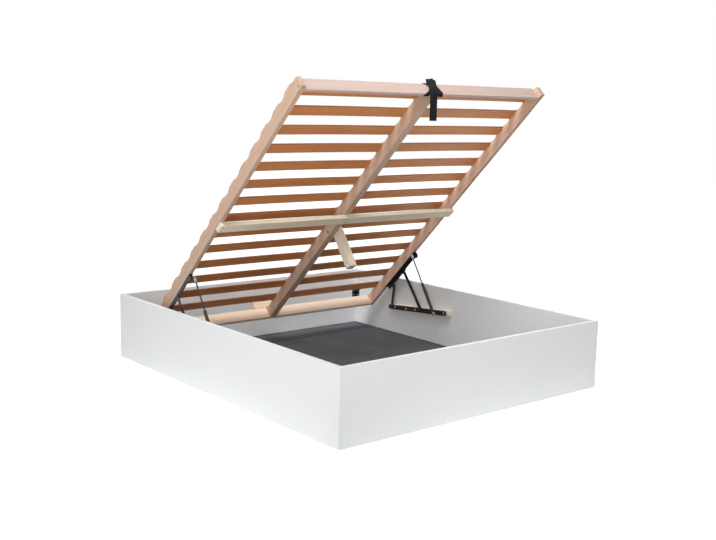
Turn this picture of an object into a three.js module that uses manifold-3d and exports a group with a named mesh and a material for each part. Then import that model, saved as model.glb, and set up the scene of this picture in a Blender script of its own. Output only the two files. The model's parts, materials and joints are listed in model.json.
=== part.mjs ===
// Ottoman storage bed: white box base, slatted lid held open on a four-bar lift with gas struts.
// Millimetres. X runs along the slats, Y towards the head end, Z up. The origin is the middle of the
// box at floor level. The lid is drawn raised, in a group turned about X, with its own axes:
// x across, s from its foot end towards the head, n up through the slats.
import * as THREE from 'three';
import { mergeVertices } from 'three/addons/utils/BufferGeometryUtils.js';
import Module from 'manifold-3d';

const wasm = await Module();
wasm.setup();

// Box base
const bedWidth = 1730;
const bedLength = 1980;
const bedHeight = 360;
const panelThickness = 22;
const clothThickness = 2;
const clothEdgeGap = 0.5;
const clothLift = 0.3;
const cornerLeg = 35;
const cornerPlate = 3;
const cornerBottom = 177;
const cornerHeight = 58;

// Fits
const fit = 0.3;
const pinPlay = 0.3;

// Stack of the lift hardware, from the side wall inwards
const blockThickness = 29.9;
const barThickness = 3.5;
const barToRearArm = 1;
const armThickness = 3;
const betweenArms = 0.8;
const frontArmToFlange = 1.4;
const flangeThickness = 4.3;
const flangeInset = 0.2;
const strutInset = 9.5;

// Lift pivots on the box, measured from the inside of the head panel and from the floor
const rearPivotFromHead = 404;
const rearPivotHeight = 181;
const frontPivotFromHead = 670;
const frontPivotHeight = 210;
const strutPivotFromHead = 827;
const strutPivotHeight = 208;

// Lift pivots on the lid, measured from its head end and below its underside
const rearJointFromHead = 238.5;
const rearJointDrop = 27.5;
const frontJointFromHead = 375.5;
const frontJointDrop = 17;
const strutJointFromHead = 534;
const strutJointDrop = 18;

// Raised pose
const rearArmLength = 138.42;
const rearArmRaised = THREE.MathUtils.degToRad(96.38);
const lidRaised = THREE.MathUtils.degToRad(45.24);
const legTilt = THREE.MathUtils.degToRad(10.6);

// Arms, base bar and struts
const armHalfWidth = 10.5;
const armEndRadius = 12;
const frontFootRadius = 12.5;
const frontFootHalf = 11.5;
const frontFootTaper = 70;
const pinRadius = 5;
const pinHeadRadius = 9;
const pinHeadThickness = 2;
const barHalfHeight = 14.5;
const roundEndEase = 0.01;
const pinOverlap = 0.1;
const cutPast = 1;
const barHeadOverhang = 22;
const barFootOverhang = 47;
const barSlope = -0.0805;
const barDrop = 3.2;
const blockHeight = 33;
const blockHeadOverhang = 36;
const blockFootOverhang = 74;
const studRadius = 3.5;
const strutEyeRadius = 9;
const strutEyeHalf = 5;
const strutCapRadius = 5;
const strutNeckRadius = 5;
const strutNeckStart = 6;
const strutBodyStart = 13;
const strutBodyEnd = 204;
const strutBodyRadius = 9;
const strutBoreStart = 55;
const strutBoreRadius = 4.5;
const rodRadius = 4;
const rodInside = 20;
const rodEyeRadius = 8;
const rodEyeHalf = 4;

// Slatted lid
const frameEndGaps = 51;
const railThickness = 25;
const railValley = 60;
const railHump = 70;
const railEndHeight = 68;
const railNose = 17;
const noseRound = 10;
const noseInset = 3;
const railHeadFlat = 15;
const railHeadRamp = 15;
const humpFlat = 50;
const humpRamp = 25;
const centreRailWidth = 45;
const footRailInset = 5;
const footRailThickness = 17;
const headRailThickness = 22;
const headRailShift = 8;
const slatsPerSide = 14;
const slatWidth = 62;
const slatThickness = 8;
const slatUnderside = 57.5;
const slatTenon = 12;
const firstSlatCentre = 69;
const lastSlatInset = 136.2;
const evenSlatSteps = 9;
const headStepExtra = 5.9;
const headBoardHalf = 95;
const headBoardHeight = 72;
const crossbarFromHead = 917;
const crossbarWidth = 54;
const crossbarThickness = 24;
const bracketFootEnd = 550;
const bracketHeadEnd = 195;
const flangeDrop = 25;
const flangeWaist = 20;
const waistFromJoint = 24;
const strutLobeRadius = 15;
const frontLobeRadius = 17;
const rearLobeRadius = 13;
const legSide = 45;
const legPivotFromHead = 802;
const legPivotHeight = 18;
const legTopAbovePivot = 24;
const legChamferAlong = 12;
const legChamferUp = 16;
const legLength = 227.5;
const legGlide = 3;
const glideInset = 2.5;
const legSideGap = 0.5;
const legBoltRadius = 4;
const legBoltHeadRadius = 8;
const legBoltHead = 4;

// Pull strap
const strapWidth = 48;
const strapThickness = 2;
const strapGap = 0.5;
const strapTail = 132;
const strapShift = 64;
const strapArch = 34;
const strapArchRun = 3.5;
const strapArchDrop = 10;
const strapSideRise = 6;
const strapFaceLeg = 8;
const strapOverlap = 2;
const strapInnerLeg = 38;

// Derived places
const innerX = bedWidth / 2 - panelThickness;
const innerY = bedLength / 2 - panelThickness;
const blockOuter = innerX - fit;
const blockInner = blockOuter - blockThickness;
const barOuter = blockInner - fit;
const barInner = barOuter - barThickness;
const rearArmOuter = barInner - barToRearArm;
const rearArmInner = rearArmOuter - armThickness;
const frontArmOuter = rearArmInner - betweenArms;
const frontArmInner = frontArmOuter - armThickness;
const flangeOuter = frontArmInner - frontArmToFlange;
const flangeInner = flangeOuter - flangeThickness;
const railOuter = flangeOuter + flangeInset;
const railInner = railOuter - railThickness;
const strutX = railInner - strutInset;
const frameLength = 2 * innerY - frameEndGaps;
const headRailOuter = frameLength + headRailShift;
const headRailInner = headRailOuter - headRailThickness;
const footRailInner = footRailInset + footRailThickness;
const centreHalf = centreRailWidth / 2;
const slatSteps = slatsPerSide - 1;
const slatSpan = frameLength - lastSlatInset - firstSlatCentre;
const slatPitch = (slatSpan - (slatSteps - evenSlatSteps) * headStepExtra) / slatSteps;
const slatCentres = Array.from(
  { length: slatsPerSide },
  (_, k) => firstSlatCentre + k * slatPitch + Math.max(0, k - evenSlatSteps) * headStepExtra,
);
const legPivotS = frameLength - legPivotFromHead;
const strapInnerX = centreHalf + fit + strapGap;

// Pivots: [along, up] in the box, then in the lid
const rearPivot = [innerY - rearPivotFromHead, rearPivotHeight];
const frontPivot = [innerY - frontPivotFromHead, frontPivotHeight];
const strutPivot = [innerY - strutPivotFromHead, strutPivotHeight];
const rearJoint = [frameLength - rearJointFromHead, -rearJointDrop];
const frontJoint = [frameLength - frontJointFromHead, -frontJointDrop];
const strutJoint = [frameLength - strutJointFromHead, -strutJointDrop];

// The lid hangs on the rear arms, and the other pivots follow from its raised pose
const rearJointRaised = [
  rearPivot[0] + rearArmLength * Math.cos(rearArmRaised),
  rearPivot[1] + rearArmLength * Math.sin(rearArmRaised),
];
const lidOrigin = [
  rearJointRaised[0] - rearJoint[0] * Math.cos(lidRaised) - rearJoint[1] * Math.sin(lidRaised),
  rearJointRaised[1] + rearJoint[0] * Math.sin(lidRaised) - rearJoint[1] * Math.cos(lidRaised),
];
const raised = ([s, n]) => [
  lidOrigin[0] + s * Math.cos(lidRaised) + n * Math.sin(lidRaised),
  lidOrigin[1] - s * Math.sin(lidRaised) + n * Math.cos(lidRaised),
];
const frontJointRaised = raised(frontJoint);
const strutJointRaised = raised(strutJoint);

// Materials
const finish = (color, roughness, metalness) => () => (
  new THREE.MeshStandardMaterial({ color, roughness, metalness })
);
const whiteBoard = finish(0xf2f2f0, 0.55, 0);
const beech = finish(0xd8b795, 0.6, 0);
const slatWood = finish(0xb98353, 0.5, 0);
const greyTimber = finish(0xc8bba6, 0.7, 0);
const paleTimber = finish(0xdcc6a4, 0.65, 0);
const blackSteel = finish(0x1b1b1d, 0.45, 0.3);
const brightSteel = finish(0xb9babb, 0.35, 0.9);
const darkCloth = finish(0x3c3c3f, 0.95, 0);
const webbing = finish(0x161617, 0.9, 0);
const glidePlastic = finish(0xb6cdb0, 0.5, 0);

// Shapes
const axisX = new THREE.Vector3(1, 0, 0);
const axisY = new THREE.Vector3(0, 1, 0);
const axisZ = new THREE.Vector3(0, 0, 1);
const points = (outline) => outline.map(([a, b]) => new THREE.Vector2(a, b));

function box(x0, x1, y0, y1, z0, z1) {
  const geometry = new THREE.BoxGeometry(x1 - x0, y1 - y0, z1 - z0);
  return geometry.translate((x0 + x1) / 2, (y0 + y1) / 2, (z0 + z1) / 2);
}

function alongZ(outline, z0, z1) {
  const shape = new THREE.Shape(points(outline));
  const geometry = new THREE.ExtrudeGeometry(shape, { depth: z1 - z0, bevelEnabled: false });
  return geometry.translate(0, 0, z0);
}

function alongX(outline, xa, xb, holes = []) {
  const shape = new THREE.Shape(points(outline));
  for (const hole of holes) {
    shape.holes.push(new THREE.Path(points(hole)));
  }
  const depth = Math.abs(xb - xa);
  const geometry = new THREE.ExtrudeGeometry(shape, { depth, bevelEnabled: false });
  geometry.applyMatrix4(new THREE.Matrix4().makeBasis(axisY, axisZ, axisX));
  return geometry.translate(Math.min(xa, xb), 0, 0);
}

function circle([y, z], radius, sides) {
  return Array.from({ length: sides }, (_, k) => {
    const angle = (k * 2 * Math.PI) / sides;
    return [y + radius * Math.cos(angle), z + radius * Math.sin(angle)];
  });
}

function arc([y, z], radius, from, to, steps) {
  return Array.from({ length: steps + 1 }, (_, k) => {
    const angle = from + ((to - from) * k) / steps;
    return [y + radius * Math.cos(angle), z + radius * Math.sin(angle)];
  });
}

// A flat bar with round ends; a wider foot can taper into the shank
function barOutline(p, q, half, radiusP, radiusQ, footHalf = half, taper = 0) {
  const along = Math.atan2(q[1] - p[1], q[0] - p[0]);
  const turnP = Math.asin(footHalf / radiusP);
  const turnQ = Math.asin(half / radiusQ);
  const side = (distance, offset) => [
    p[0] + distance * Math.cos(along) - offset * Math.sin(along),
    p[1] + distance * Math.sin(along) + offset * Math.cos(along),
  ];
  const shoulders = taper > 0 ? [side(taper, -half)] : [];
  const closing = taper > 0 ? [side(taper, half)] : [];
  return [
    ...arc(p, radiusP, along + turnP, along + 2 * Math.PI - turnP, 10),
    ...shoulders,
    ...arc(q, radiusQ, along + Math.PI + turnQ, along + 3 * Math.PI - turnQ, 10),
    ...closing,
  ];
}

// A strip of even thickness that follows a path
function stripOutline(path, thickness) {
  const edge = (sign) => path.map(([a, b], k) => {
    const before = path[Math.max(k - 1, 0)];
    const after = path[Math.min(k + 1, path.length - 1)];
    const length = Math.hypot(after[0] - before[0], after[1] - before[1]);
    const offset = (sign * thickness) / 2 / length;
    return [a - (after[1] - before[1]) * offset, b + (after[0] - before[0]) * offset];
  });
  return [...edge(-1), ...edge(1).reverse()];
}

function disc([y, z], radius, xa, xb, sides = 16) {
  return alongX(circle([y, z], radius, sides), xa, xb);
}

function solid(geometry) {
  const plain = geometry.clone();
  plain.deleteAttribute('normal');
  plain.deleteAttribute('uv');
  const welded = mergeVertices(plain, 1e-4);
  const vertProperties = new Float32Array(welded.attributes.position.array);
  const triVerts = new Uint32Array(welded.index.array);
  return new wasm.Manifold(new wasm.Mesh({ numProp: 3, vertProperties, triVerts }));
}

function faceted(manifold) {
  const mesh = manifold.getMesh();
  const geometry = new THREE.BufferGeometry();
  geometry.setAttribute('position', new THREE.BufferAttribute(mesh.vertProperties, 3));
  geometry.setIndex(new THREE.BufferAttribute(mesh.triVerts, 1));
  const separate = geometry.toNonIndexed();
  separate.computeVertexNormals();
  return separate;
}

function joined(geometries, cuts = []) {
  const whole = geometries.map(solid).reduce((a, b) => a.add(b));
  return faceted(cuts.map(solid).reduce((a, b) => a.subtract(b), whole));
}

const bed = new THREE.Group();
const lid = new THREE.Group();
const leg = new THREE.Group();
lid.position.set(0, lidOrigin[0], lidOrigin[1]);
lid.rotation.x = -lidRaised;
leg.position.set(centreHalf + legSideGap + legSide / 2, legPivotS, legPivotHeight);
leg.rotation.x = legTilt;
bed.add(lid);
lid.add(leg);

function piece(group, name, geometry, material) {
  const mesh = new THREE.Mesh(geometry, material());
  mesh.name = name;
  group.add(mesh);
}

// Box panels, mitred at the corners
const outerX = bedWidth / 2;
const outerY = bedLength / 2;
for (const [name, end] of [['panel_foot', -1], ['panel_head', 1]]) {
  const outline = [
    [-outerX, end * outerY], [outerX, end * outerY], [innerX, end * innerY], [-innerX, end * innerY],
  ];
  piece(bed, name, alongZ(outline, 0, bedHeight), whiteBoard);
}
for (const [name, side] of [['panel_left', -1], ['panel_right', 1]]) {
  const outline = [
    [side * outerX, -outerY], [side * outerX, outerY], [side * innerX, innerY], [side * innerX, -innerY],
  ];
  piece(bed, name, alongZ(outline, 0, bedHeight), whiteBoard);
}

// Floor cloth
const clothX = innerX - clothEdgeGap;
const clothY = innerY - clothEdgeGap;
const cloth = box(-clothX, clothX, -clothY, clothY, clothLift, clothLift + clothThickness);
piece(bed, 'floor_cloth', cloth, darkCloth);

// Angle plates in the two inner corners on the right
for (const [name, end] of [['corner_bracket_foot', -1], ['corner_bracket_head', 1]]) {
  const at = (a, b) => [innerX - a, end * (innerY - b)];
  const outline = [
    at(fit, fit), at(fit, cornerLeg), at(fit + cornerPlate, cornerLeg),
    at(fit + cornerPlate, fit + cornerPlate), at(cornerLeg, fit + cornerPlate), at(cornerLeg, fit),
  ];
  piece(bed, name, alongZ(outline, cornerBottom, cornerBottom + cornerHeight), blackSteel);
}

// Lift hardware, the same on both sides
const barAt = (y, lift = 0) => [y, rearPivot[1] - barDrop + (y - rearPivot[0]) * barSlope + lift];
const barHead = barAt(rearPivot[0] + barHeadOverhang);
const barFoot = barAt(strutPivot[0] - barFootOverhang);
const blockHead = rearPivot[0] + blockHeadOverhang;
const blockFoot = strutPivot[0] - blockFootOverhang;
const strutLength = Math.hypot(strutJointRaised[0] - strutPivot[0], strutJointRaised[1] - strutPivot[1]);
const strutAngle = Math.atan2(strutJointRaised[1] - strutPivot[1], strutJointRaised[0] - strutPivot[0]);

for (const [hand, side] of [['left', -1], ['right', 1]]) {
  const x = (value) => side * value;

  const blockOutline = [
    barAt(blockFoot, -blockHeight / 2), barAt(blockHead, -blockHeight / 2),
    barAt(blockHead, blockHeight / 2), barAt(blockFoot, blockHeight / 2),
  ];
  piece(bed, `spacer_block_${hand}`, alongX(blockOutline, x(blockInner), x(blockOuter)), beech);

  const plate = barOutline(barFoot, barHead, barHalfHeight - roundEndEase, barHalfHeight, barHalfHeight);
  const insidePlate = (barInner + barOuter) / 2;
  const strutFace = strutX - strutEyeHalf;
  const baseParts = [
    alongX(plate, x(barInner), x(barOuter)),
    disc(rearPivot, pinRadius, x(rearArmInner + pinPlay), x(insidePlate)),
    disc(frontPivot, pinHeadRadius, x(frontArmOuter + pinPlay), x(insidePlate)),
    disc(frontPivot, pinRadius, x(frontArmInner + pinPlay), x(insidePlate)),
    disc(strutPivot, studRadius, x(strutFace - pinPlay - pinOverlap), x(insidePlate), 12),
    disc(strutPivot, strutCapRadius, x(strutFace - pinPlay - pinHeadThickness), x(strutFace - pinPlay), 12),
  ];
  piece(bed, `base_bar_${hand}`, joined(baseParts), blackSteel);

  const holes = (...places) => places.map((place) => circle(place, pinRadius + pinPlay, 16));
  const rearOutline = barOutline(rearPivot, rearJointRaised, armHalfWidth, armEndRadius, armEndRadius);
  const rearArm = alongX(rearOutline, x(rearArmInner), x(rearArmOuter), holes(rearPivot, rearJointRaised));
  piece(bed, `rear_arm_${hand}`, rearArm, blackSteel);

  const frontOutline = barOutline(
    frontPivot, frontJointRaised, armHalfWidth, frontFootRadius, armEndRadius, frontFootHalf, frontFootTaper,
  );
  const rivetFace = flangeOuter + fit;
  const frontParts = [
    alongX(frontOutline, x(frontArmInner), x(frontArmOuter)),
    disc(frontJointRaised, pinRadius, x(rivetFace), x(frontArmOuter + betweenArms / 2), 12),
  ];
  const frontHole = disc(
    frontPivot, pinRadius + pinPlay, x(frontArmInner - cutPast), x(frontArmOuter + cutPast),
  );
  piece(bed, `front_arm_${hand}`, joined(frontParts, [frontHole]), blackSteel);

  const bodyProfile = [
    [0, strutNeckStart], [strutNeckRadius, strutNeckStart], [strutNeckRadius, strutBodyStart],
    [strutBodyRadius, strutBodyStart], [strutBodyRadius, strutBodyEnd], [strutBoreRadius, strutBodyEnd],
    [strutBoreRadius, strutBoreStart], [0, strutBoreStart],
  ];
  const body = new THREE.LatheGeometry(points(bodyProfile), 16);
  body.rotateX(strutAngle).translate(x(strutX), strutPivot[0], strutPivot[1]);
  const eye = disc(strutPivot, strutEyeRadius, x(strutX - strutEyeHalf), x(strutX + strutEyeHalf));
  const eyeHole = disc(
    strutPivot, studRadius + pinPlay, x(strutX - strutBodyRadius), x(strutX + strutBodyRadius),
  );
  piece(bed, `strut_cylinder_${hand}`, joined([body, eye], [eyeHole]), blackSteel);

  const rodStart = strutBodyEnd - rodInside;
  const rod = new THREE.CylinderGeometry(rodRadius, rodRadius, strutLength - rodStart, 12);
  rod.translate(0, (strutLength + rodStart) / 2, 0);
  rod.rotateX(strutAngle).translate(x(strutX), strutPivot[0], strutPivot[1]);
  const rodEye = disc(strutJointRaised, rodEyeRadius, x(strutX - rodEyeHalf), x(strutX + rodEyeHalf));
  piece(bed, `strut_rod_${hand}`, joined([rod, rodEye]), blackSteel);

  const bracketFoot = frameLength - bracketFootEnd;
  const bracketHead = frameLength - bracketHeadEnd;
  const waistFoot = strutJoint[0] + waistFromJoint;
  const waistHead = frontJoint[0] - waistFromJoint;
  const waistRamp = flangeDrop - flangeWaist;
  const flangeOutline = [
    [bracketFoot, -flangeDrop], [waistFoot, -flangeDrop], [waistFoot + waistRamp, -flangeWaist],
    [waistHead - waistRamp, -flangeWaist], [waistHead, -flangeDrop], [bracketHead, -flangeDrop],
    [bracketHead, -fit], [bracketFoot, -fit],
  ];
  const seatOutline = [
    [bracketFoot, -flangeThickness - fit], [bracketHead, -flangeThickness - fit], [bracketHead, -fit],
    [bracketFoot, -fit],
  ];
  const bracketParts = [
    alongX(flangeOutline, x(flangeInner), x(flangeOuter)),
    disc(strutJoint, strutLobeRadius, x(flangeInner), x(flangeOuter)),
    disc(frontJoint, frontLobeRadius - fit, x(flangeInner), x(flangeOuter)),
    disc(rearJoint, rearLobeRadius, x(flangeInner), x(flangeOuter)),
    alongX(seatOutline, x(railInner + 2 * fit), x(flangeOuter)),
    disc(strutJoint, studRadius, x(strutX + rodEyeHalf + fit), x(flangeInner + cutPast), 12),
    disc(rearJoint, pinRadius, x(flangeInner + cutPast), x(rearArmOuter + pinPlay + pinOverlap)),
    disc(rearJoint, pinHeadRadius, x(rearArmOuter + pinPlay), x(rearArmOuter + pinPlay + pinHeadThickness)),
  ];
  piece(lid, `lid_bracket_${hand}`, joined(bracketParts), blackSteel);
}

// Rails, raised in a low hump at every slat
function railOutline(start, end, foot) {
  const top = [];
  for (const centre of [...slatCentres].reverse()) {
    top.push([centre + humpFlat / 2 + humpRamp, railValley], [centre + humpFlat / 2, railHump]);
    top.push([centre - humpFlat / 2, railHump], [centre - humpFlat / 2 - humpRamp, railValley]);
  }
  top.pop();
  const headEnd = [
    [end, 0], [end, railEndHeight], [end - railHeadFlat, railEndHeight],
    [end - railHeadFlat - railHeadRamp, railValley],
  ];
  return [[start, 0], ...headEnd, ...top, ...foot];
}

function mortises(xFrom, xTo) {
  return slatCentres.map((centre) => box(
    Math.min(xFrom, xTo), Math.max(xFrom, xTo), centre - slatWidth / 2 - fit, centre + slatWidth / 2 + fit,
    slatUnderside - fit, slatUnderside + slatThickness + fit,
  ));
}

const firstHumpFoot = firstSlatCentre - humpFlat / 2 - humpRamp;
const nose = [
  [firstHumpFoot, railValley], [-railNose + noseRound, railValley],
  [-railNose + noseInset, railValley - noseInset], [-railNose, railValley - noseRound],
];
for (const [hand, side] of [['left', -1], ['right', 1]]) {
  const rail = alongX(railOutline(-railNose, headRailOuter, nose), side * railInner, side * railOuter);
  const cuts = mortises(side * (railInner - cutPast), side * (railInner + slatTenon));
  piece(lid, `side_rail_${hand}`, joined([rail], cuts), beech);
}
const centreStart = footRailInner + fit;
const centreEnd = headRailInner - fit;
const centreOutline = railOutline(centreStart, centreEnd, [[centreStart, railHump]]);
const centreRail = alongX(centreOutline, -centreHalf, centreHalf);
const legBoltPlace = [legPivotS, legPivotHeight];
const pastCentre = centreHalf + cutPast;
const centreCuts = [
  ...mortises(pastCentre, centreHalf - slatTenon), ...mortises(-pastCentre, -centreHalf + slatTenon),
  disc(legBoltPlace, legBoltRadius + pinPlay, -pastCentre, pastCentre, 12),
];
piece(lid, 'centre_rail', joined([centreRail], centreCuts), beech);

const endRailX = railInner - fit;
piece(lid, 'foot_rail', box(-endRailX, endRailX, footRailInset, footRailInner, 0, railEndHeight), beech);
piece(lid, 'head_rail', box(-endRailX, endRailX, headRailInner, headRailOuter, 0, railEndHeight), paleTimber);

// Short board that stands on the head rail
const boardFoot = railEndHeight + fit;
const boardTop = boardFoot + headBoardHeight;
const headBlock = box(-headBoardHalf, headBoardHalf, headRailInner, headRailOuter, boardFoot, boardTop);
piece(lid, 'head_block', headBlock, paleTimber);

// Crossbar under the rails
const crossbarHead = frameLength - crossbarFromHead;
const crossbarFoot = crossbarHead - crossbarWidth;
const crossbar = box(-railOuter, railOuter, crossbarFoot, crossbarHead, -crossbarThickness - fit, -fit);
piece(lid, 'crossbar', crossbar, greyTimber);

// Slats, two columns
const slatIn = centreHalf - slatTenon + fit;
const slatOut = railInner + slatTenon - fit;
for (const [hand, side] of [['left', -1], ['right', 1]]) {
  slatCentres.forEach((centre, k) => {
    const slat = box(
      Math.min(side * slatIn, side * slatOut), Math.max(side * slatIn, side * slatOut),
      centre - slatWidth / 2, centre + slatWidth / 2, slatUnderside, slatUnderside + slatThickness,
    );
    piece(lid, `slat_${hand}_${String(k + 1).padStart(2, '0')}`, slat, slatWood);
  });
}

// Bolt that the leg turns on
const legOuter = centreHalf + legSideGap + legSide;
const legBolt = joined([
  disc(legBoltPlace, legBoltRadius, -centreHalf - fit - cutPast, legOuter + fit + cutPast, 12),
  disc(legBoltPlace, legBoltHeadRadius, legOuter + fit, legOuter + fit + legBoltHead, 12),
  disc(legBoltPlace, legBoltHeadRadius, -centreHalf - fit - legBoltHead, -centreHalf - fit, 6),
]);
piece(lid, 'leg_bolt', legBolt, brightSteel);

// Support leg, hinged beside the centre rail
const legHalf = legSide / 2;
const timberEnd = -legLength + legGlide + fit;
const legOutline = [
  [-legHalf, timberEnd], [legHalf, timberEnd], [legHalf, legTopAbovePivot - legChamferUp],
  [legHalf - legChamferAlong, legTopAbovePivot], [-legHalf + legChamferAlong, legTopAbovePivot],
  [-legHalf, legTopAbovePivot - legChamferUp],
];
const legHole = circle([0, 0], legBoltRadius + pinPlay, 12);
piece(leg, 'support_leg', alongX(legOutline, -legHalf, legHalf, [legHole]), paleTimber);
const glideHalf = legHalf - glideInset;
const glide = box(-glideHalf, glideHalf, -glideHalf, glideHalf, -legLength, -legLength + legGlide);
piece(leg, 'leg_glide', glide, glidePlastic);

// Webbing pull strap: over the foot rail, across its face and hanging straight down when the lid is up
const strapIn = footRailInner + strapGap + strapThickness / 2;
const strapOut = footRailInset - strapGap - strapThickness / 2;
const strapTop = railEndHeight + strapArch;
const strapShoulder = strapTop - strapArchDrop;
const strapSide = railEndHeight + strapSideRise;
const strapPath = [
  [strapIn, railEndHeight - strapInnerLeg], [strapIn, strapSide], [strapIn - strapArchRun, strapShoulder],
  [(strapIn + strapOut) / 2, strapTop], [strapOut + strapArchRun, strapShoulder], [strapOut, strapSide],
  [strapOut, railEndHeight - strapFaceLeg],
];
const strapLoop = alongX(stripOutline(strapPath, strapThickness), strapInnerX, strapInnerX + strapWidth);
const acrossShape = new THREE.Shape(points([
  [strapInnerX, railEndHeight - strapOverlap], [strapInnerX - strapShift, -strapOverlap],
  [strapInnerX - strapShift + strapWidth, -strapOverlap],
  [strapInnerX + strapWidth, railEndHeight - strapOverlap],
]));
const across = new THREE.ExtrudeGeometry(acrossShape, { depth: strapThickness, bevelEnabled: false });
across.rotateX(Math.PI / 2).translate(0, strapOut + strapThickness / 2, 0);
const tail = box(
  strapInnerX - strapShift, strapInnerX - strapShift + strapWidth, -strapThickness / 2, strapThickness / 2,
  -strapTail, strapOverlap / 2,
);
tail.rotateX(lidRaised).translate(0, strapOut, -strapOverlap / 2);
piece(lid, 'pull_strap', joined([strapLoop, across, tail]), webbing);

export default bed;
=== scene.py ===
# %% [markdown]
# Ottoman storage bed, seen with its slatted lid raised. Every solid keeps its place and size here,
# and this lesson dresses them: rounded edges, wood, steel, cloth, screws and webbing.

# %% Load the frame
import json
import math
import bmesh
import bpy
from mathutils import Matrix, Vector, noise


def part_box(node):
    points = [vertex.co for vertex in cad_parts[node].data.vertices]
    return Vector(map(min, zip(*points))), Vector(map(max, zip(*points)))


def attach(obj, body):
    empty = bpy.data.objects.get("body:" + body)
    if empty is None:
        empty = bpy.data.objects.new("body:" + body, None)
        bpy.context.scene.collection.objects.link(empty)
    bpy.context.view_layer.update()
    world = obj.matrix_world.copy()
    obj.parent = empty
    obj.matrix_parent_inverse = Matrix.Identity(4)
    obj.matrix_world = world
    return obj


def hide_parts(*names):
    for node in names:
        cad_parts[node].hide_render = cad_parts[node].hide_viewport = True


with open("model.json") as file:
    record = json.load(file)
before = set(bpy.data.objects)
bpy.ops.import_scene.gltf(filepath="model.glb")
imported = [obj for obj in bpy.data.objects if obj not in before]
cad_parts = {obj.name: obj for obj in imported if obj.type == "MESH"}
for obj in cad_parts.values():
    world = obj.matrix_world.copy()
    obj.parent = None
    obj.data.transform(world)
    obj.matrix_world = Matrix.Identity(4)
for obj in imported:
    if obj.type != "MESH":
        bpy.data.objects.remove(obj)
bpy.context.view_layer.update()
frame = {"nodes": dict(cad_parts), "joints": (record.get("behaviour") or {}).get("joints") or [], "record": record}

# %% [markdown]
# Directions on the raised lid.
# The lid was drawn flat and then turned, so a piece on it is easiest to make flat as well. The lid's
# hinge joint in the record says where the lid is, and its tilt is given as a fixed angle. A point on
# the lid is given as x across, s from its foot end towards the head, and n up through the slats.

# %% Lid axes
MM = 0.001
LID_TILT = math.radians(45.24)
LEG_TILT = LID_TILT - math.radians(10.6)
joint_at = {joint["name"]: Vector(joint["pos_m"]) for joint in frame["joints"] if joint.get("pos_m")}

LID_LENGTH = 1.885
REAR_JOINT_S = LID_LENGTH - 0.2385
REAR_JOINT_N = -0.0275
hinge = joint_at["lid_hinge"]
lid_along = Vector((0, math.cos(LID_TILT), -math.sin(LID_TILT)))
lid_up = Vector((0, math.sin(LID_TILT), math.cos(LID_TILT)))
lid_origin = Vector((0, hinge.y, hinge.z)) - REAR_JOINT_S * lid_along - REAR_JOINT_N * lid_up
LID = Matrix.Translation(lid_origin) @ Matrix.Rotation(-LID_TILT, 4, "X")
print("lid origin", [round(value, 4) for value in lid_origin])

# %% [markdown]
# The camera.
# The box edges in the photograph fix the viewpoint: about 4 m away from the near corner, a little
# above the raised lid's middle, with a long lens. The picture is tipped by a degree and a half.

# %% Camera
PICTURE_WIDTH = 716
LENS_PIXELS = 1026.11
CAMERA_PLACE = Vector((-3.4803, -4.2134, 1.4427))
CAMERA_YAW = math.radians(39.92)
CAMERA_PITCH = math.radians(9.147)
CAMERA_ROLL = math.radians(1.450)

forward = Vector((
    math.sin(CAMERA_YAW) * math.cos(CAMERA_PITCH),
    math.cos(CAMERA_YAW) * math.cos(CAMERA_PITCH),
    -math.sin(CAMERA_PITCH),
))
level_right = forward.cross(Vector((0, 0, 1))).normalized()
level_up = level_right.cross(forward)
right = level_right * math.cos(CAMERA_ROLL) + level_up * math.sin(CAMERA_ROLL)
up = level_up * math.cos(CAMERA_ROLL) - level_right * math.sin(CAMERA_ROLL)

camera_data = bpy.data.cameras.new("camera")
camera_data.sensor_width = 36
camera_data.lens = LENS_PIXELS / PICTURE_WIDTH * camera_data.sensor_width
camera_data.clip_end = 100
camera = bpy.data.objects.new("camera", camera_data)
bpy.context.scene.collection.objects.link(camera)
turn = Matrix((right, up, -forward)).transposed().to_4x4()
camera.matrix_world = Matrix.Translation(CAMERA_PLACE) @ turn
bpy.context.scene.camera = camera
bpy.context.scene.view_settings.view_transform = "Standard"
print("lens", round(camera_data.lens, 2), "mm")

# %% [markdown]
# Colours and nodes.
# Colours are written as the hex codes that a picture editor shows. A shader works with linear light,
# so one function turns the codes. Another adds a node and fills its inputs in one call.

# %% Colours and nodes
def linear(code):
    """Turn an sRGB hex colour into the linear values that a shader works with."""
    levels = [int(code[start:start + 2], 16) / 255 for start in (1, 3, 5)]
    return tuple(v / 12.92 if v <= 0.04045 else ((v + 0.055) / 1.055) ** 2.4 for v in levels) + (1.0,)


def add_node(tree, kind, sockets=None, **settings):
    """Add a node, give it its settings, and fill or link its inputs."""
    node = tree.nodes.new(kind)
    for name, value in settings.items():
        setattr(node, name, value)
    for name, value in (sockets or {}).items():
        if isinstance(value, bpy.types.NodeSocket):
            tree.links.new(value, node.inputs[name])
        else:
            node.inputs[name].default_value = value
    return node


def new_finish(name, **values):
    """Start a material with one surface shader, set from plain values."""
    finish = bpy.data.materials.new(name)
    finish.use_nodes = True
    tree = finish.node_tree
    shader = tree.nodes["Principled BSDF"]
    for socket, value in values.items():
        shader.inputs[socket.replace("_", " ")].default_value = value
    return finish, tree, shader


def colour_between(tree, factor, first, second):
    """Blend two hex colours by a factor from a pattern."""
    ramp = add_node(tree, "ShaderNodeValToRGB", {"Fac": factor})
    ramp.color_ramp.elements[0].color = linear(first)
    ramp.color_ramp.elements[1].color = linear(second)
    return ramp.outputs["Color"]


def give_bump(tree, shader, height, distance, strength):
    """Let a pattern raise and lower the surface by a real distance."""
    bump = add_node(tree, "ShaderNodeBump", {"Height": height, "Distance": distance, "Strength": strength})
    tree.links.new(bump.outputs["Normal"], shader.inputs["Normal"])


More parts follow.
